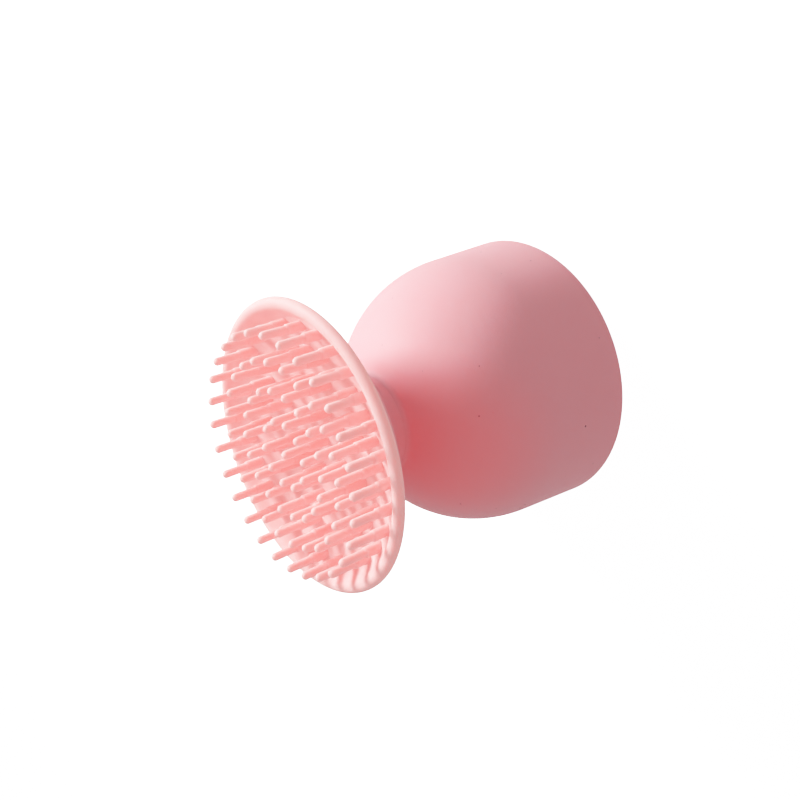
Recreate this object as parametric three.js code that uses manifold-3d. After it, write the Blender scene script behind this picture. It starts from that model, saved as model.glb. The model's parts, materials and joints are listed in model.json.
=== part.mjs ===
// Scalp massager brush: a silicone bristle disc on a flexible waist, with a ball-shaped grip.
// Millimetres, +Z up. The brush stands on the flat end of its grip, with the bristles on top.
// The origin is the centre of that flat end.
import * as THREE from "three";
import { mergeVertices } from "three/addons/utils/BufferGeometryUtils.js";
import Module from "manifold-3d";

const wasm = await Module();
wasm.setup();

// Driving dimensions
const discRadius = 38;
const edgeHeight = 75.4; // widest plane of the disc
const lip = { width: 3.3, rise: 1.6 }; // the rounded lip, above the widest plane
const gripRadius = 36.6;
const gripFlare = 0.9; // the barrel widens by this much to its flat end
const barrelHeight = 19; // the straight part of the grip, below its dome
const neckRadius = 13;
const outerRing = 30.8;
const floor = { centre: 69, rise: 3.8 }; // the dish, flat inside and steep at its edge
const tips = { centre: 82.3, rise: 2.3 }; // the bristles' ends lie on a shallow bowl
const bristle = { baseRadius: 1.36, tipRadius: 1.08, tipLength: 6.9, step: 0.7 };
const padRim = 30.6; // outside this radius the pad's underside rises to its lip
const skinWall = 3; // silicone on the grip
const padWall = 1.3; // floor of the pad
const plateRadius = 26;
const plateWall = 1.3;
const shellWall = 2.2; // hard shells in the grip
const gap = 0.3; // between pieces that touch
const capThickness = 2.6;
const screwRing = 22; // radius of the circle of core screws
const coreScrewCount = 3;
const splitHeight = 19; // where the two hard shells meet
const post = { radius: 4.2, top: 38.5, bore: 1.8, boreTop: 32 };
const tube = { radius: 4.6, counterbore: 3.2, seat: 7.5 };
const edgeRound = 0.6; // at the grip's flat end

// Rings of bristles from the outside in; turn is the angle of the first one, in degrees
const bristleRings = [
  { count: 28, radius: outerRing, turn: -0.4 },
  { count: 24, radius: 23.8, turn: -8.9 },
  { count: 18, radius: 16.3, turn: 0.8 },
  { count: 10, radius: 8.5, turn: -4.7 },
  { count: 1, radius: 0, turn: 0 },
];

const pink = { color: "#f9c3c7", roughness: 0.62, metalness: 0 };
const looks = {
  pad: { color: "#ffb0ac", roughness: 0.58, metalness: 0 },
  skin: pink,
  shell: { color: "#f3f0ec", roughness: 0.5, metalness: 0 },
  rubber: { color: "#5b5450", roughness: 0.75, metalness: 0 },
  steel: { color: "#c2c5c9", roughness: 0.3, metalness: 1 },
};

const floorHeight = (radius) =>
  floor.centre + floor.rise * (radius / outerRing) ** 4;
const tipHeight = (radius) =>
  tips.centre + tips.rise * (radius / outerRing) ** 2;
const onSphere = (radius, reach) =>
  barrelHeight + Math.sqrt(radius ** 2 - reach ** 2);

// Points of an arc in the (radius, height) plane, angles in degrees from the radius direction.
function arc(centre, radius, from, to, steps) {
  return Array.from({ length: steps + 1 }, (_, i) => {
    const angle = THREE.MathUtils.degToRad(from + ((to - from) * i) / steps);
    return [
      centre[0] + radius * Math.cos(angle),
      centre[1] + radius * Math.sin(angle),
    ];
  });
}

// An arc of the grip's dome, from one distance off the axis to another.
function domeArc(radius, fromReach, toReach, steps) {
  const angleAt = (reach) =>
    THREE.MathUtils.radToDeg(Math.acos(Math.min(1, reach / radius)));
  return arc(
    [0, barrelHeight],
    radius,
    angleAt(fromReach),
    angleAt(toReach),
    steps,
  );
}

// A solid of revolution about Z. A profile that leaves the axis closes on itself.
function turned(profile, segments) {
  const ends = [profile[0], profile[profile.length - 1]];
  const onAxis = ends.every(([radius]) => radius === 0);
  const points = (onAxis ? profile : [...profile, profile[0]]).map(
    ([radius, height]) => new THREE.Vector2(radius, height),
  );
  return new THREE.LatheGeometry(points, segments).rotateX(Math.PI / 2);
}

function toSolid(geometry) {
  const bare = geometry.clone();
  bare.deleteAttribute("normal");
  bare.deleteAttribute("uv");
  const merged = mergeVertices(bare, 1e-4);
  return new wasm.Manifold(
    new wasm.Mesh({
      numProp: 3,
      vertProperties: merged.getAttribute("position").array,
      triVerts: new Uint32Array(merged.index.array),
    }),
  );
}

function toGeometry(solid) {
  const mesh = solid.getMesh();
  const geometry = new THREE.BufferGeometry();
  geometry.setAttribute(
    "position",
    new THREE.BufferAttribute(new Float32Array(mesh.vertProperties), 3),
  );
  geometry.setIndex(
    new THREE.BufferAttribute(new Uint32Array(mesh.triVerts), 1),
  );
  geometry.computeVertexNormals();
  return geometry;
}

// A plain rod about a line parallel to Z at (x, y), as a solid.
function rod(radius, bottom, top, x, y, segments = 12) {
  const profile = [
    [0, bottom],
    [radius, bottom],
    [radius, top],
    [0, top],
  ];
  return toSolid(turned(profile, segments).translate(x, y, 0));
}

function ringPlaces(count, radius, turn = 0) {
  return Array.from({ length: count }, (_, i) => {
    const angle = THREE.MathUtils.degToRad(turn + (360 / count) * i);
    return [radius * Math.cos(angle), radius * Math.sin(angle)];
  });
}

const object = new THREE.Group();

function add(name, geometry, look) {
  const mesh = new THREE.Mesh(geometry, new THREE.MeshStandardMaterial(look));
  mesh.name = name;
  object.add(mesh);
}

// The pad: a dish with a round lip, and stepped bristles standing in rings on its floor.
function bristlePad() {
  const under = (radius) => [radius, floorHeight(radius) - padWall];
  const over = (radius) => [radius, floorHeight(radius)];
  const lipMiddle = discRadius - lip.width / 2;
  const lipTop = arc([0, 0], 1, 0, 180, 6).map(([across, up]) => [
    lipMiddle + (across * lip.width) / 2,
    edgeHeight + up * lip.rise,
  ]);
  const profile = [
    under(0),
    under(12),
    under(22),
    under(padRim),
    [34.2, edgeHeight - 2.1],
    [36.9, edgeHeight - 0.6],
    [discRadius - 0.2, edgeHeight - 0.3],
    ...lipTop,
    over(33.4),
    over(31),
    over(27.5),
    over(22),
    over(12),
    over(0),
  ];
  let pad = toSolid(turned(profile, 40));
  for (const ring of bristleRings) {
    const foot = floorHeight(ring.radius) - padWall / 2;
    const top = tipHeight(ring.radius);
    const shoulder = top - bristle.tipLength;
    const upright = turned(
      [
        [0, foot],
        [bristle.baseRadius, foot],
        [bristle.baseRadius, shoulder - bristle.step],
        [bristle.tipRadius, shoulder],
        [bristle.tipRadius, top - bristle.tipRadius],
        [0, top],
      ],
      6,
    );
    for (const [x, y] of ringPlaces(ring.count, ring.radius, ring.turn)) {
      pad = pad.add(toSolid(upright.clone().translate(x, y, 0)));
    }
  }
  return toGeometry(pad);
}

// The stiff plate under the pad follows its underside and drops into a cup for the head screw.
const cup = { bottom: 62.4, floor: 64.2, radius: 8.6, outer: 9.4, hole: 2.3 };

function headPlate() {
  const over = (radius) => [radius, floorHeight(radius) - padWall - gap];
  const under = (radius) => [
    radius,
    floorHeight(radius) - padWall - gap - plateWall,
  ];
  return turned(
    [
      [cup.hole, cup.bottom],
      [cup.outer, cup.bottom],
      [cup.outer + 0.5, 65],
      under(12),
      under(20),
      under(plateRadius),
      over(plateRadius),
      over(20),
      over(12),
      [9, 67.2],
      [cup.radius, cup.floor],
      [cup.hole, cup.floor],
    ],
    32,
  );
}

// The boot: from under the lip, over the disc's back, to the waist and into the grip's opening.
const sleeveBottom = 49.8;
const sleeveBore = 9.8;

function neckSleeve() {
  const plateEdge = plateRadius + gap;
  const underPad = (radius) => [radius, floorHeight(radius) - padWall - gap];
  const underPlate = (radius) => [
    radius,
    floorHeight(radius) - padWall - plateWall - 2 * gap,
  ];
  const back = [
    [neckRadius, sleeveBottom],
    [neckRadius, 54],
    [13.3, 56],
    [14.2, 57.9],
    [16, 60],
    [19, 62.2],
    [23, 64.4],
    [26.8, 66.8],
    [29.6, 68.9],
    [32.5, 71],
    [34.8, 72.9],
  ];
  return turned(
    [
      [sleeveBore, sleeveBottom],
      ...back,
      [36.3, edgeHeight - 1.1],
      [33.8, edgeHeight - 2.6],
      underPad(padRim),
      underPad(plateEdge),
      underPlate(plateEdge),
      underPlate(20),
      underPlate(12),
      [sleeveBore + 0.6, 64.8],
      [sleeveBore, 62.3],
    ],
    36,
  );
}

// The rubber column: it carries the bend, and its blind holes take the neck and head screws.
const column = { radius: 9.5, spigot: 6, bottom: 45.4, top: 62.1, hole: 2.1 };
const blindEnds = { low: 53, high: 58.6 };

function neckCore() {
  return turned(
    [
      [0, blindEnds.low],
      [column.hole, blindEnds.low],
      [column.hole, column.bottom],
      [column.spigot, column.bottom],
      [column.spigot, sleeveBottom],
      [column.radius, sleeveBottom],
      [column.radius, column.top],
      [column.hole, column.top],
      [column.hole, blindEnds.high],
      [0, blindEnds.high],
    ],
    24,
  );
}

// The grip's skin: a barrel and a dome, open at the flat end and round the waist.
function gripSkin() {
  const inner = gripRadius - skinWall;
  const opening = neckRadius + gap;
  const endRadius = gripRadius + gripFlare;
  return turned(
    [
      [inner, 0],
      [endRadius - edgeRound, 0],
      [endRadius, edgeRound],
      ...domeArc(gripRadius, gripRadius, opening, 7),
      ...domeArc(inner, opening, inner, 6),
    ],
    36,
  );
}

// The front shell: a hard dome with a collar for the waist and posts for the core screws.
const collar = { bottom: 45.3, hole: 6.3, land: 9.9 };
const shellRadius = gripRadius - skinWall - gap;

function coreFront() {
  const inner = shellRadius - shellWall;
  const opening = neckRadius + gap;
  const top = onSphere(shellRadius, opening);
  let shell = toSolid(
    turned(
      [
        [inner, splitHeight + gap / 2],
        [shellRadius, splitHeight + gap / 2],
        ...domeArc(shellRadius, shellRadius - 0.05, opening, 6),
        [collar.hole, top],
        [collar.hole, collar.bottom],
        [collar.land, collar.bottom],
        ...domeArc(inner, collar.land, inner - 0.05, 5),
      ],
      28,
    ),
  );
  for (const [x, y] of ringPlaces(coreScrewCount, screwRing)) {
    shell = shell.add(rod(post.radius, splitHeight + gap / 2, post.top, x, y));
  }
  for (const [x, y] of ringPlaces(coreScrewCount, screwRing)) {
    shell = shell.subtract(rod(post.bore, splitHeight - 1, post.boreTop, x, y));
  }
  return toGeometry(shell);
}

// The rear shell: a cup with a central opening and a counterbored tube for each core screw.
const rearFloor = {
  bottom: capThickness + gap,
  top: capThickness + gap + 2,
  opening: 12.5,
};

function coreRear() {
  const top = splitHeight - gap / 2;
  const inner = shellRadius - shellWall;
  let shell = toSolid(
    turned(
      [
        [rearFloor.opening, rearFloor.bottom],
        [shellRadius, rearFloor.bottom],
        [shellRadius, top],
        [inner, top],
        [inner, rearFloor.top],
        [rearFloor.opening, rearFloor.top],
      ],
      32,
    ),
  );
  for (const [x, y] of ringPlaces(coreScrewCount, screwRing)) {
    shell = shell.add(rod(tube.radius, rearFloor.bottom, top, x, y));
  }
  for (const [x, y] of ringPlaces(coreScrewCount, screwRing)) {
    shell = shell
      .subtract(rod(tube.counterbore, rearFloor.bottom - 1, tube.seat, x, y))
      .subtract(rod(post.bore, tube.seat - 1, top + 1, x, y));
  }
  return toGeometry(shell);
}

// A pan-head screw about Z: its head is at headEnd and its shank runs to tip.
function screw(headEnd, tip, headRadius, headHeight, shankRadius) {
  const up = Math.sign(tip - headEnd);
  const profile = [
    [0, headEnd],
    [headRadius * 0.7, headEnd],
    [headRadius, headEnd + up * headHeight * 0.4],
    [headRadius, headEnd + up * headHeight],
    [shankRadius, headEnd + up * headHeight],
    [shankRadius, tip - up],
    [0, tip],
  ];
  return turned(up > 0 ? profile : profile.reverse(), 12);
}

function washer(hole, radius, bottom, thickness) {
  return turned(
    [
      [hole, bottom],
      [radius, bottom],
      [radius, bottom + thickness],
      [hole, bottom + thickness],
    ],
    20,
  );
}

// The end cap: a flat disc flush with the skin's end, with a plug that is grooved for its seal.
const plug = {
  radius: 12.1,
  inner: 9.2,
  top: 7.4,
  groove: 10.6,
  grooveBottom: 3.6,
  grooveTop: 5.4,
};

function endCap() {
  return turned(
    [
      [0, 0],
      [shellRadius, 0],
      [shellRadius, capThickness],
      [plug.radius, capThickness],
      [plug.radius, plug.grooveBottom],
      [plug.groove, plug.grooveBottom],
      [plug.groove, plug.grooveTop],
      [plug.radius, plug.grooveTop],
      [plug.radius - 0.8, plug.top],
      [plug.inner, plug.top],
      [plug.inner, capThickness],
      [0, capThickness],
    ],
    36,
  );
}

function capSeal() {
  const middle = (plug.grooveBottom + plug.grooveTop) / 2;
  return turned(arc([plug.groove + 0.85, middle], 0.7, 0, 300, 5), 24);
}

add("bristle_pad", bristlePad(), looks.pad);
add("head_plate", headPlate(), looks.shell);
add("neck_sleeve", neckSleeve(), looks.skin);
add("neck_core", neckCore(), looks.rubber);
add("grip_skin", gripSkin(), looks.skin);
add("core_front", coreFront(), looks.shell);
add("core_rear", coreRear(), looks.shell);
add("end_cap", endCap(), looks.skin);
add("cap_seal", capSeal(), looks.rubber);
add("head_screw", screw(66.8, 59.4, 3.4, 1.2, 1.7), looks.steel);
add("head_washer", washer(column.hole, 7.8, cup.floor + gap, 0.8), looks.steel);
add("neck_screw", screw(41.5, 52.4, 3.4, 2.2, 1.7), looks.steel);
add("neck_washer", washer(column.hole, 9, 44, 1), looks.steel);
ringPlaces(coreScrewCount, screwRing).forEach(([x, y], i) => {
  const headHeight = 2;
  const shank = post.bore - 0.35;
  const coreScrew = screw(tube.seat - gap - headHeight, 30, 2.8, headHeight, shank);
  add(`core_screw_${i + 1}`, coreScrew.translate(x, y, 0), looks.steel);
});

export default object;
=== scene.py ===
import json
import math
import random

import bmesh
import bpy
from mathutils import Matrix, Quaternion, Vector
from mathutils.geometry import interpolate_bezier


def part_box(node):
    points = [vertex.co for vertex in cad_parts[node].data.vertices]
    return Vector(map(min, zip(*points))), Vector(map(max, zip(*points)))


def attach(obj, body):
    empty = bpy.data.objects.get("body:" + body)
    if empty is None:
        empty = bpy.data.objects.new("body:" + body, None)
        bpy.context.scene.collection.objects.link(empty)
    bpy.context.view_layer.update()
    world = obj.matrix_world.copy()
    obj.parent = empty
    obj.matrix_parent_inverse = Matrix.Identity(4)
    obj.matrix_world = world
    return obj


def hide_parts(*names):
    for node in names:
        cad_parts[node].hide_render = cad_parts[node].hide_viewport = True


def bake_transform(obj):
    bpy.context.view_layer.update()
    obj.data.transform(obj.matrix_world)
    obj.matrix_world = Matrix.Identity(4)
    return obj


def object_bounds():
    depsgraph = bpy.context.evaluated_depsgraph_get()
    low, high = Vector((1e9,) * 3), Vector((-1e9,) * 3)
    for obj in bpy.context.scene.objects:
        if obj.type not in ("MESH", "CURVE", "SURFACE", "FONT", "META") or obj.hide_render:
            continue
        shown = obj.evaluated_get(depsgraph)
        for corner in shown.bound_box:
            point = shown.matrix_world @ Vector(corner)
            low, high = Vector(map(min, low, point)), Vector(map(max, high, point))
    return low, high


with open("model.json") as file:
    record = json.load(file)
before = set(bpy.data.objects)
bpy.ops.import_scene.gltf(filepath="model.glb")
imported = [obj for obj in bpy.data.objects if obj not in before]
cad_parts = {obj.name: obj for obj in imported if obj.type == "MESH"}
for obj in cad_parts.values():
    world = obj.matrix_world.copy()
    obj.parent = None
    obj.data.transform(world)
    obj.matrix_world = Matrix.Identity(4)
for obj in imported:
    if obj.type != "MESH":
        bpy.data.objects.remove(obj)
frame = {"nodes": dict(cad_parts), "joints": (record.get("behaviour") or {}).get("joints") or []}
cadLow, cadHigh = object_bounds()
print("frame loaded:", len(frame["nodes"]), "nodes")

mm = 0.001
tiny = 1e-7  # points closer than this are one point
sharpAngle = math.radians(38)  # edges sharper than this aren't smoothed
scene = bpy.context.scene


def setFilm():
    # a soft shoulder: bright tones run gently into white
    view = scene.view_settings
    view.view_transform = "Standard"
    view.use_curve_mapping = True
    brightest = 3.0
    tones = ((0.25, 0.235), (0.5, 0.45), (1.0, 0.72), (1.5, 0.87), (2.0, 0.955))
    film = view.curve_mapping
    film.white_level = (brightest, brightest, brightest)
    allColours = film.curves[3]
    for light, shown in tones:
        allColours.points.new(light / brightest, shown)
    film.update()


setFilm()

# places that the frame gives
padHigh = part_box("bristle_pad")[1]
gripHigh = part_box("grip_skin")[1]
sleeveLow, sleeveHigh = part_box("neck_sleeve")
coreLow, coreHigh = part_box("neck_core")
capLow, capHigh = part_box("end_cap")
hingeHeight = frame["joints"][0]["pos_m"][2]
discRadius = padHigh.x
edgeHeight = padHigh.z - 9.2 * mm  # the widest plane of the disc


def arcPoints(centre, radius, start, end, steps):
    # (radius, height) points, angles in degrees from straight out
    turns = [math.radians(start + (end - start) * i / steps) for i in range(steps + 1)]
    return [(centre[0] + radius * math.cos(t), centre[1] + radius * math.sin(t)) for t in turns]


def bezierPoints(start, startPull, endPull, end, steps):
    ends = [Vector((p[0], p[1], 0)) for p in (start, startPull, endPull, end)]
    return [(p.x, p.y) for p in interpolate_bezier(*ends, steps + 1)]


def spinProfile(bm, outline, steps):
    # turns an outline of (radius, height) points about Z; off the axis it closes on itself
    points = [p for i, p in enumerate(outline) if i == 0 or math.dist(p, outline[i - 1]) > tiny]
    verts = [bm.verts.new((radius, 0, height)) for radius, height in points]
    edges = [bm.edges.new(pair) for pair in zip(verts, verts[1:])]
    if points[0][0] > 0 or points[-1][0] > 0:
        edges.append(bm.edges.new((verts[-1], verts[0])))
    bmesh.ops.spin(
        bm,
        geom=verts + edges,
        axis=(0, 0, 1),
        cent=(0, 0, 0),
        angle=math.tau,
        steps=steps,
        use_merge=True,
    )
    bmesh.ops.remove_doubles(bm, verts=bm.verts, dist=tiny)
    bmesh.ops.recalc_face_normals(bm, faces=bm.faces)


def placeMesh(bm, name, material):
    mesh = bpy.data.meshes.new(name)
    bm.to_mesh(mesh)
    bm.free()
    mesh.materials.append(material)
    placed = bpy.data.objects.new(name, mesh)
    scene.collection.objects.link(placed)
    return placed


def finishMesh(bm, name, material):
    for face in bm.faces:
        face.smooth = True
    for edge in bm.edges:
        edge.smooth = edge.calc_face_angle(0) < sharpAngle
    piece = placeMesh(bm, name, material)
    return piece


def splitAt(bm, height, keepBelow):
    # keeps one side of a turned wall and closes the cut ring
    geometry = bm.verts[:] + bm.edges[:] + bm.faces[:]
    cut = bmesh.ops.bisect_plane(
        bm,
        geom=geometry,
        dist=1e-6,
        plane_co=(0, 0, height),
        plane_no=(0, 0, 1),
        clear_outer=keepBelow,
        clear_inner=not keepBelow,
    )
    ring = [g for g in cut["geom_cut"] if isinstance(g, bmesh.types.BMEdge)]
    bmesh.ops.bridge_loops(bm, edges=ring)
    bmesh.ops.recalc_face_normals(bm, faces=bm.faces)


class Wire:
    # a node's output that can be used in sums
    def __init__(self, recipe, socket):
        self.recipe = recipe
        self.socket = socket

    def sum(self, operation, first, second):
        made = self.recipe.node("ShaderNodeMath", {"operation": operation}, {0: first, 1: second})
        return self.recipe.wire(made)

    def __add__(self, other):
        return self.sum("ADD", self, other)

    def __mul__(self, other):
        return self.sum("MULTIPLY", self, other)

    __radd__ = __add__
    __rmul__ = __mul__

    def __gt__(self, other):
        return self.sum("GREATER_THAN", self, other)

    def __lt__(self, other):
        return self.sum("LESS_THAN", self, other)


class Recipe:
    def __init__(self, name):
        self.material = bpy.data.materials.new(name)
        self.material.use_nodes = True
        self.tree = self.material.node_tree
        self.tree.nodes.clear()

    def node(self, kind, settings=None, values=None):
        made = self.tree.nodes.new(kind)
        for key, value in (settings or {}).items():
            setattr(made, key, value)
        for key, value in (values or {}).items():
            if isinstance(value, Wire):
                self.tree.links.new(value.socket, made.inputs[key])
            else:
                made.inputs[key].default_value = value
        return made

    def wire(self, made, output=0):
        return Wire(self, made.outputs[output])

    def place(self):
        return self.wire(self.node("ShaderNodeTexCoord"), "Object")

    def noise(self, size, detail=2.0):
        # size is the size of a feature, in metres
        values = {"Vector": self.place(), "Scale": 1 / size, "Detail": detail}
        return self.wire(self.node("ShaderNodeTexNoise", None, values), "Fac")

    def near(self, middle, close, far):
        # one near a point and nothing far from it
        reach = self.node(
            "ShaderNodeVectorMath", {"operation": "DISTANCE"}, {0: self.place(), 1: middle}
        )
        values = {"Value": self.wire(reach, "Value"), 1: far, 2: close}
        made = self.node("ShaderNodeMapRange", {"interpolation_type": "SMOOTHSTEP"}, values)
        return self.wire(made)

    def mix(self, share, first, second):
        made = self.node("ShaderNodeMix", {"data_type": "RGBA"}, {0: share, 6: first, 7: second})
        return self.wire(made, 2)

    def finish(self, shader):
        self.node("ShaderNodeOutputMaterial", None, {"Surface": self.wire(shader)})
        return self.material


def specks(recipe, look):
    # dust: small balls scattered through space, seen where the skin cuts them
    spacing = look["spacing"]
    cells = recipe.node(
        "ShaderNodeTexVoronoi",
        None,
        {"Vector": recipe.place(), "Scale": 1 / spacing, "Randomness": 1.0},
    )
    parts = recipe.node("ShaderNodeSeparateColor", None, {0: recipe.wire(cells, "Color")})
    reach = recipe.wire(cells, "Distance") * spacing
    smallest = 0.4  # of the size
    isInside = reach < look["size"] * (smallest + (1 - smallest) * recipe.wire(parts, 1))
    return isInside * (recipe.wire(parts) > 1 - look["share"]) * look["strength"]


def siliconeMaterial(name, look):
    recipe = Recipe(name)
    cloud = recipe.noise(look["cloud"])
    colour = recipe.mix(cloud, (*look["pale"], 1), (*look["deep"], 1))
    # painted bounce light and shade: a redder, deeper colour mixed in round the waist, where the
    # skins light each other and the crease lies in shade
    blush = recipe.near(look["blushMiddle"], look["blushClose"], look["blushFar"])
    colour = recipe.mix(blush * look["blush"], colour, (*look["blushColour"], 1))
    for dust in look["dust"]:
        colour = recipe.mix(specks(recipe, dust), colour, (*dust["colour"], 1))
    grain = recipe.noise(look["grain"], 3.0)
    grainBump = recipe.node(
        "ShaderNodeBump",
        None,
        {"Strength": look["grainStrength"], "Distance": look["grainDepth"], "Height": grain},
    )
    bump = recipe.node(
        "ShaderNodeBump",
        None,
        {
            "Strength": look["peelStrength"],
            "Distance": look["peelDepth"],
            "Height": recipe.noise(look["peel"], 1.0),
            "Normal": recipe.wire(grainBump),
        },
    )
    shader = recipe.node(
        "ShaderNodeBsdfPrincipled",
        {"subsurface_method": "RANDOM_WALK"},
        {
            "Base Color": colour,
            "Roughness": look["roughness"] + look["roughnessSpread"] * grain,
            "Normal": recipe.wire(bump),
            "Subsurface Weight": look["glow"],
            "Subsurface Radius": look["glowRadius"],
            "Subsurface Scale": look["glowDepth"],
            "Specular IOR Level": look["shine"],
            "Sheen Weight": look["sheen"],
            "Sheen Roughness": look["sheenRoughness"],
            # painted glow: a faint red emission all over the skin, stronger round the waist, that
            # lightens and reddens its shade
            "Emission Color": recipe.mix(blush, (*look["inner"], 1), (*look["innerNear"], 1)),
            "Emission Strength": 1.0,
        },
    )
    return recipe.finish(shader)


plainGrainDepth = 0.08  # of the grain's size
plainRoughnessSpread = 0.12


def plainMaterial(name, look):
    recipe = Recipe(name)
    grain = recipe.noise(look["grain"], 3.0)
    colour = recipe.mix(grain, (*look["pale"], 1), (*look["deep"], 1))
    bump = recipe.node(
        "ShaderNodeBump",
        None,
        {"Strength": 0.3, "Distance": look["grain"] * plainGrainDepth, "Height": grain},
    )
    shader = recipe.node(
        "ShaderNodeBsdfPrincipled",
        None,
        {
            "Base Color": colour,
            "Roughness": look["roughness"] + plainRoughnessSpread * grain,
            "Metallic": look["metallic"],
            "Normal": recipe.wire(bump),
        },
    )
    return recipe.finish(shader)


# sizes in metres, colours as shares of light
silicone = {
    "pale": (0.95, 0.38, 0.41),
    "deep": (0.94, 0.36, 0.39),
    "cloud": 30 * mm,
    "grain": 0.35 * mm,
    "grainDepth": 0.042 * mm,
    "grainStrength": 0.18,
    "peel": 2.4 * mm,
    "peelDepth": 0.12 * mm,
    "peelStrength": 0.1,
    "roughness": 0.54,
    "roughnessSpread": 0.1,
    "shine": 0.32,
    "glow": 0.5,
    "glowRadius": (1.0, 0.6, 0.55),
    "glowDepth": 1.6 * mm,
    "sheen": 0.04,
    "sheenRoughness": 0.4,
    "blush": 1.0,  # share of painted bounce light and shade: the redder, deeper colour that the skins throw on each other round the waist, painted on the side away from the key light
    "blushColour": (0.955, 0.32, 0.35),
    "blushMiddle": (14 * mm, 18 * mm, hingeHeight - 11 * mm),
    "blushClose": 6 * mm,
    "blushFar": 30 * mm,
    "inner": (0.025, 0.0, 0.004),  # painted glow: a faint red emission that stands in for light carried through the silicone
    "innerNear": (0.13, 0.0, 0.0),
    "dust": [
        {
            "spacing": 4 * mm,
            "size": 0.3 * mm,
            "share": 0.6,
            "strength": 0.7,
            "colour": (0.35, 0.12, 0.13),
        },
        {
            "spacing": 7 * mm,
            "size": 0.42 * mm,
            "share": 0.3,
            "strength": 1.0,
            "colour": (0.18, 0.04, 0.05),
        },
    ],
}
skinSilicone = siliconeMaterial("skin_silicone", silicone)
padLook = {
    "pale": (0.96, 0.43, 0.42),
    "deep": (0.95, 0.41, 0.4),
    "glow": 0.95,
    "glowRadius": (1.0, 0.7, 0.65),
    "glowDepth": 2.8 * mm,
    "dust": [],
    "blush": 0.0,
    # painted glow: a red emission that fills the shade between the bristles
    "inner": (0.28, 0.115, 0.11),
    "innerNear": (0.28, 0.115, 0.11),
}
padSilicone = siliconeMaterial("pad_silicone", silicone | padLook)
corePlastic = plainMaterial(
    "core_plastic",
    {
        "pale": (0.88, 0.86, 0.82),
        "deep": (0.82, 0.8, 0.76),
        "grain": 0.8 * mm,
        "roughness": 0.42,
        "metallic": 0.0,
    },
)
columnRubber = plainMaterial(
    "column_rubber",
    {
        "pale": (0.11, 0.09, 0.08),
        "deep": (0.07, 0.06, 0.055),
        "grain": 0.4 * mm,
        "roughness": 0.62,
        "metallic": 0.0,
    },
)
screwSteel = plainMaterial(
    "screw_steel",
    {
        "pale": (0.62, 0.62, 0.63),
        "deep": (0.52, 0.52, 0.54),
        "grain": 0.25 * mm,
        "roughness": 0.24,
        "metallic": 1.0,
    },
)
print("materials made")

pad = {
    "steps": 160,
    "outerRing": 30.8 * mm,
    "floorCentre": edgeHeight - 6.4 * mm,
    "floorRise": 3.8 * mm,  # flat inside and steep at the edge
    "tipCentre": edgeHeight + 6.9 * mm,
    "tipRise": 2.3 * mm,  # the bristles' ends lie on a shallow bowl
    "wall": 1.3 * mm,
    "rim": 30.6 * mm,  # outside this radius the underside rises to the lip
    "lipRise": 1.6 * mm,
    "lipCrest": 36.4 * mm,
    "lipFoot": 32.2 * mm,  # where the lip meets the floor
    "rings": [  # count, radius, angle of the first bristle
        (28, 30.8 * mm, -0.4),
        (24, 23.8 * mm, -8.9),
        (18, 16.3 * mm, 0.8),
        (10, 8.5 * mm, -4.7),
        (1, 0.0, 0.0),
    ],
}
bristle = {
    "steps": 20,
    "root": 0.9 * mm,  # hidden in the floor
    "baseRadius": 1.36 * mm,
    "tipRadius": 1.08 * mm,
    "tipLength": 6.9 * mm,
    "shoulder": 0.8 * mm,
    "lean": 0.012,  # the most that a bristle leans, as a slope
}


def floorHeight(radius):
    return pad["floorCentre"] + pad["floorRise"] * (radius / pad["outerRing"]) ** 4


def tipHeight(radius):
    return pad["tipCentre"] + pad["tipRise"] * (radius / pad["outerRing"]) ** 2


def bristleOutline(length):
    base, tip = bristle["baseRadius"], bristle["tipRadius"]
    step = length - bristle["tipLength"]
    middle = step - bristle["shoulder"] / 2
    root = [(0, -bristle["root"]), (base, -bristle["root"])]
    shoulder = bezierPoints(
        (base, step - bristle["shoulder"]), (base, middle), (tip, middle), (tip, step), 7
    )
    end = arcPoints((0, length - tip), tip, 0, 90, 8)
    return root + shoulder + end[:-1] + [(0, length)]


def makeBristle(length):
    single = bmesh.new()
    spinProfile(single, bristleOutline(length), bristle["steps"])
    source = bpy.data.meshes.new("bristle")
    single.to_mesh(source)
    single.free()
    return source


def padOutline():
    foot, crest, rise = pad["lipFoot"], pad["lipCrest"], pad["lipRise"]
    top = edgeHeight + rise
    places = [r * mm for r in (0, 6, 12, 18, 22, 26, 28.6)] + [pad["rim"]]
    under = [(place, floorHeight(place) - pad["wall"]) for place in places]
    # then out and up to the lip's edge
    under += [
        (34.2 * mm, edgeHeight - 2.1 * mm),
        (discRadius - 1.1 * mm, edgeHeight - 0.8 * mm),
    ]
    side = bezierPoints(
        (discRadius - 0.7 * mm, edgeHeight - 0.7 * mm),
        (discRadius - 0.2 * mm, edgeHeight - 0.6 * mm),
        (discRadius, edgeHeight - 0.4 * mm),
        (discRadius, edgeHeight),
        6,
    )
    turns = [math.pi / 2 * i / 12 for i in range(1, 12)]
    outer = [
        (crest + (discRadius - crest) * math.cos(t), edgeHeight + rise * math.sin(t)) for t in turns
    ]
    inner = bezierPoints(
        (crest, top),
        (crest - 1.8 * mm, top),
        (foot + 2 * mm, floorHeight(foot) + 1.2 * mm),
        (foot, floorHeight(foot)),
        18,
    )
    rings = 20
    floorPlaces = [foot * i / rings for i in range(rings - 1, -1, -1)]
    floor = [(place, floorHeight(place)) for place in floorPlaces]
    return under + side + outer + inner + floor


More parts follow.
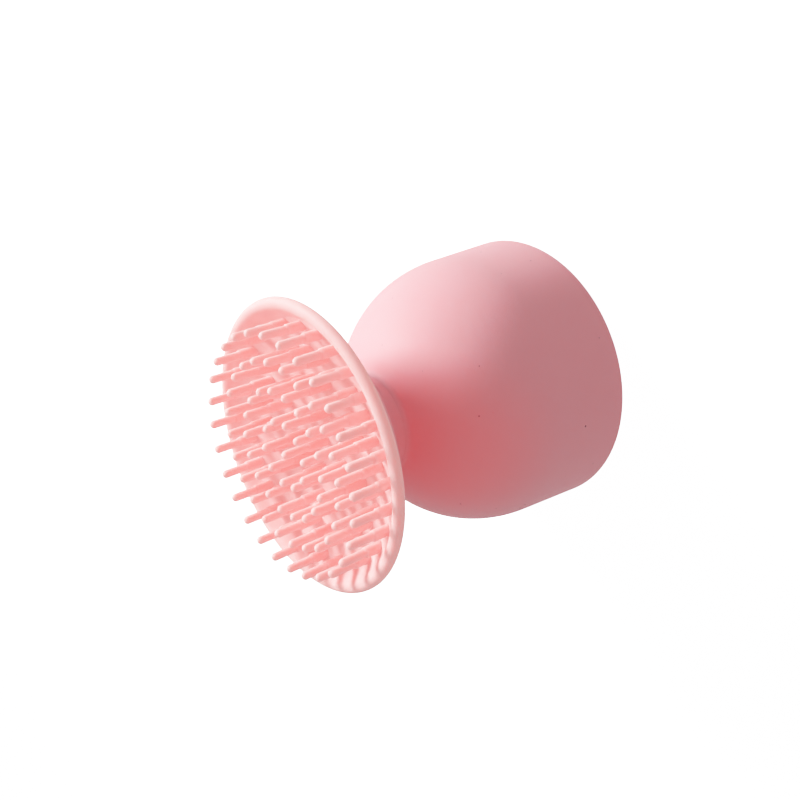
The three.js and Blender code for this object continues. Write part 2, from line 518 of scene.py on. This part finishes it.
def makePad():
    bm = bmesh.new()
    spinProfile(bm, padOutline(), pad["steps"])
    rng = random.Random(7)
    slope = bristle["lean"]
    for count, radius, first in pad["rings"]:
        source = makeBristle(tipHeight(radius) - floorHeight(radius))
        for i in range(count):
            angle = math.radians(first + 360 * i / count)
            across, along = radius * math.cos(angle), radius * math.sin(angle)
            place = Vector((across, along, floorHeight(radius)))
            lean = Matrix.Identity(4)
            lean[0][2] = rng.uniform(-1, 1) * slope
            lean[1][2] = rng.uniform(-1, 1) * slope
            placed = source.copy()
            placed.transform(Matrix.Translation(place) @ lean)
            bm.from_mesh(placed)
            bpy.data.meshes.remove(placed)
        bpy.data.meshes.remove(source)
    piece = finishMesh(bm, "bristle_pad_soft", padSilicone)
    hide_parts("bristle_pad")
    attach(piece, "head")


makePad()
print("bristle pad made")

sleeve = {
    "steps": 160,
    "waistRadius": 13 * mm,
    "bore": 9.8 * mm,
    "gap": 0.3 * mm,  # between the sleeve and the hard pieces that it touches
    "plateRadius": 26.3 * mm,  # the stiff plate lies inside this radius
    "plateWall": 1.3 * mm,
    "bend": 3.7 * mm,  # the waist bends this far below and above the hinges
    # radius, and height above the hinges
    "neckTop": (13 * mm, -3 * mm),
    "flarePulls": ((13 * mm, 1.2 * mm), (16.6 * mm, 4 * mm)),
    "flareEnd": (20 * mm, 5.75 * mm),
    "backPulls": ((24.6 * mm, 8.15 * mm), (31.9 * mm, 13.4 * mm)),
    "boreTop": 5.3 * mm,
}


def aboveHinges(point):
    return (point[0], hingeHeight + point[1])


def sleeveOutline():
    waist, bore, gap = sleeve["waistRadius"], sleeve["bore"], sleeve["gap"]
    foot, neckTop = sleeveLow.z, aboveHinges(sleeve["neckTop"])
    wall = [(waist, foot + (neckTop[1] - foot) * i / 5) for i in range(5)]
    flarePulls = [aboveHinges(pull) for pull in sleeve["flarePulls"]]
    backPulls = [aboveHinges(pull) for pull in sleeve["backPulls"]]
    flare = bezierPoints(neckTop, *flarePulls, aboveHinges(sleeve["flareEnd"]), 18)
    back = bezierPoints(flare[-1], *backPulls, (sleeveHigh.x, edgeHeight - 1.1 * mm), 14)
    rim, plate = pad["rim"], sleeve["plateRadius"]
    padUnder = pad["wall"] + gap
    plateUnder = padUnder + sleeve["plateWall"] + gap
    inside = [(33.8 * mm, edgeHeight - 2.6 * mm)]
    inside += [(r, floorHeight(r) - padUnder) for r in (rim, plate)]
    inside += [(r, floorHeight(r) - plateUnder) for r in (plate, 20 * mm, 12 * mm)]
    shaft = [(bore, hingeHeight + sleeve["boreTop"] - i * mm) for i in range(12)]
    return wall + flare[:-1] + back + inside + shaft + [(bore, foot)]


column = {
    "steps": 64,
    "radius": 9.4 * mm,
    "spigot": 5.9 * mm,
    "hole": 2.1 * mm,
    "lowHole": 7.6 * mm,  # depths of the two blind screw holes
    "highHole": 3.5 * mm,
}


def columnOutline():
    radius, spigot, hole = column["radius"], column["spigot"], column["hole"]
    low, high, shoulder = coreLow.z, coreHigh.z, sleeveLow.z
    lowEnd, highEnd = low + column["lowHole"], high - column["highHole"]
    outer = [(radius, shoulder + (high - shoulder) * i / 12) for i in range(13)]
    foot = [(0, lowEnd), (hole, lowEnd), (hole, low), (spigot, low), (spigot, shoulder)]
    top = [(hole, high), (hole, highEnd), (0, highEnd)]
    return foot + outer + top


def makeWaist():
    pieces = [
        ("neck_sleeve", sleeveOutline(), sleeve["steps"], skinSilicone, "skin_silicone"),
        ("neck_core", columnOutline(), column["steps"], columnRubber, "column_rubber"),
    ]
    halves = [
        ("lower", True, ("grip", "neck"), (hingeHeight - sleeve["bend"], hingeHeight)),
        ("upper", False, ("neck", "head"), (hingeHeight, hingeHeight + sleeve["bend"])),
    ]
    for node, outline, steps, material, slot in pieces:
        for half, keepBelow, bodies, (start, end) in halves:
            bm = bmesh.new()
            spinProfile(bm, outline, steps)
            splitAt(bm, hingeHeight, keepBelow)
            piece = finishMesh(bm, f"{node}_{half}", material)
            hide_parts(node)
            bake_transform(piece)


makeWaist()
print("waist made")

grip = {
    "steps": 192,
    "wall": 3 * mm,
    "radius": 36.6 * mm,
    "dome": 19 * mm,  # height of the dome's centre
    "edge": 0.5 * mm,  # round edge at the flat end
    "innerEdge": 0.3 * mm,
    "crease": 1.9 * mm,  # fillet where the waist meets the dome
    "overlap": 0.04 * mm,  # how far the skin reaches into the waist's surface
    "capFit": 0.12 * mm,
}


def flareAngle():
    # the barrel is a cone that touches the dome: radius / cos + dome height * tan = end radius
    angle = 0.0
    rounds = 20  # enough for it to settle
    for _ in range(rounds):
        rise = gripHigh.x - grip["radius"] / math.cos(angle)
        angle = math.atan(rise / grip["dome"])
    return angle


def makeGrip():
    radius, dome, rounding, crease = (grip[key] for key in ("radius", "dome", "edge", "crease"))
    inner = radius - grip["wall"]
    opening = sleeve["waistRadius"] - grip["overlap"]
    # the fillet touches the dome and the waist
    filletRadius = opening + crease
    reach = math.sqrt((radius + crease) ** 2 - filletRadius**2)
    touch = math.degrees(math.atan2(reach, filletRadius))
    edge = arcPoints((gripHigh.x - rounding, rounding), rounding, -90, 0, 6)
    over = arcPoints((0, dome), radius, math.degrees(flareAngle()), touch, 56)
    barrel = bezierPoints(edge[-1], edge[-1], over[0], over[0], 12)[1:-1]
    fillet = arcPoints((filletRadius, dome + reach), crease, touch + 180, 180, 6)
    innerTop = math.degrees(math.acos(opening / inner))
    inside = arcPoints((0, dome), inner, innerTop, 0, 24)
    innerEdge = grip["innerEdge"]
    lip = arcPoints((inner + innerEdge, innerEdge), innerEdge, 180, 270, 3)
    bm = bmesh.new()
    spinProfile(bm, lip + edge + barrel + over + fillet + inside, grip["steps"])
    piece = finishMesh(bm, "grip_skin_soft", skinSilicone)
    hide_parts("grip_skin")
    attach(piece, "grip")


cap = {
    "steps": 160,
    "plate": 2.6 * mm,
    "edge": 0.35 * mm,
    "dish": 0.25 * mm,  # its face is hollow by this much
    "dishReach": 0.8,  # of its radius
    "plug": 12.1 * mm,
    "plugWall": 2.9 * mm,
    "plugTaper": 0.8 * mm,
    "grooveDepth": 1.5 * mm,
    "grooveDrop": (3.8 * mm, 2 * mm),  # below the plug's top
}


def makeCap():
    radius = grip["radius"] - grip["wall"] - grip["capFit"]
    low, top, plate, rounding = capLow.z, capHigh.z, cap["plate"], cap["edge"]
    hollow = low + cap["dish"]
    pulls = ((radius * 0.5, hollow), (radius * 0.72, hollow))
    dish = bezierPoints((0, hollow), *pulls, (radius * cap["dishReach"], low), 12)
    edge = arcPoints((radius - rounding, low + rounding), rounding, -90, 0, 5)
    outer = cap["plug"]
    grooveLow, grooveHigh = (top - drop for drop in cap["grooveDrop"])
    plug = [
        (outer, plate),
        (outer, grooveLow),
        (outer - cap["grooveDepth"], grooveLow),
        (outer - cap["grooveDepth"], grooveHigh),
        (outer, grooveHigh),
        (outer - cap["plugTaper"], top),
        (outer - cap["plugWall"], top),
        (outer - cap["plugWall"], plate),
        (0, plate),
    ]
    bm = bmesh.new()
    spinProfile(bm, dish + edge + [(radius, plate)] + plug, cap["steps"])
    piece = finishMesh(bm, "end_cap_disc", skinSilicone)
    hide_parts("end_cap")
    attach(piece, "grip")


makeGrip()
makeCap()
print("grip made")

keptPieces = {
    "head_plate": corePlastic,
    "core_front": corePlastic,
    "core_rear": corePlastic,
    "cap_seal": columnRubber,
}
for name, node in frame["nodes"].items():
    material = screwSteel if "screw" in name or "washer" in name else keptPieces.get(name)
    if material:
        for slot in node.material_slots:
            slot.material = material

floorSize = 2.5  # metres from the middle to an edge
backdropRadius = 4  # metres


def makeFloor():
    # a pale floor, and a ball of the same white round it; they light nothing
    recipe = Recipe("floor_white")
    diffuse = recipe.node("ShaderNodeBsdfDiffuse", None, {"Color": (0.8, 0.8, 0.8, 1)})
    glow = recipe.node("ShaderNodeEmission", None, {"Color": (1, 1, 1, 1), "Strength": 2.4})
    both = recipe.node("ShaderNodeAddShader", None, {0: recipe.wire(diffuse), 1: recipe.wire(glow)})
    white = recipe.finish(both)
    bm = bmesh.new()
    bmesh.ops.create_grid(bm, x_segments=1, y_segments=1, size=floorSize)
    bmesh.ops.translate(bm, verts=bm.verts, vec=(0, 0, cadLow.z - 0.1 * mm))
    floor = placeMesh(bm, "floor", white)
    bm = bmesh.new()
    bmesh.ops.create_uvsphere(bm, u_segments=48, v_segments=24, radius=backdropRadius)
    bmesh.ops.reverse_faces(bm, faces=bm.faces)
    backdrop = placeMesh(bm, "backdrop", white)
    backdrop.visible_shadow = False
    for stand in (floor, backdrop):
        stand.visible_diffuse = False
        stand.visible_glossy = False
        stand.visible_transmission = False


keyLight = {
    "direction": (-0.707, -0.356, 0.611),
    "distance": 0.8,
    "size": 0.26,
    "power": 14.2,
}


def makeLight(name, look):
    data = bpy.data.lights.new(name, "AREA")
    data.shape = "DISK"
    data.size = look["size"]
    data.energy = look["power"]
    light = bpy.data.objects.new(name, data)
    towards = Vector(look["direction"]).normalized()
    light.location = (cadLow + cadHigh) / 2 + towards * look["distance"]
    light.rotation_mode = "QUATERNION"
    light.rotation_quaternion = (-towards).to_track_quat("-Z", "Y")
    scene.collection.objects.link(light)


cameraLook = {
    "aim": Vector((-3.2, 0.0, 45.2)) * mm,
    "distance": 265.4 * mm,
    "azimuth": 180.0,
    "elevation": 34.96,
    "roll": 109.6,
    "lens": 45.3,
    "shift": (0.0055, 0.0021),
}


def makeCamera():
    look = cameraLook
    around, above = math.radians(look["azimuth"]), math.radians(look["elevation"])
    level = math.cos(above)
    back = Vector((math.sin(around) * level, -math.cos(around) * level, math.sin(above)))
    data = bpy.data.cameras.new("camera")
    data.lens = look["lens"]
    data.shift_x, data.shift_y = look["shift"]
    data.clip_start = 0.01
    camera = bpy.data.objects.new("camera", data)
    scene.collection.objects.link(camera)
    camera.location = look["aim"] + back * look["distance"]
    camera.rotation_mode = "QUATERNION"
    roll = Quaternion((0, 0, 1), -math.radians(look["roll"]))
    camera.rotation_quaternion = (-back).to_track_quat("-Z", "Y") @ roll
    scene.camera = camera


def makeWorld(strength, fade):
    # pale all round, and a little dimmer towards fade
    world = bpy.data.worlds.new("studio")
    world.use_nodes = True
    tree = world.node_tree
    place = tree.nodes.new("ShaderNodeTexCoord")
    along = tree.nodes.new("ShaderNodeVectorMath")
    along.operation = "DOT_PRODUCT"
    along.inputs[1].default_value = fade
    amount = tree.nodes.new("ShaderNodeMath")
    amount.operation = "MULTIPLY_ADD"
    amount.inputs[1].default_value = -strength
    amount.inputs[2].default_value = strength
    tree.links.new(place.outputs["Generated"], along.inputs[0])
    tree.links.new(along.outputs["Value"], amount.inputs[0])
    background = tree.nodes["Background"]
    background.inputs["Color"].default_value = (1, 1, 1, 1)
    tree.links.new(amount.outputs[0], background.inputs["Strength"])
    scene.world = world


makeFloor()
makeCamera()
makeLight("key", keyLight)
makeWorld(strength=0.66, fade=(0.08, 0.1, 0.05))
print("stage made")
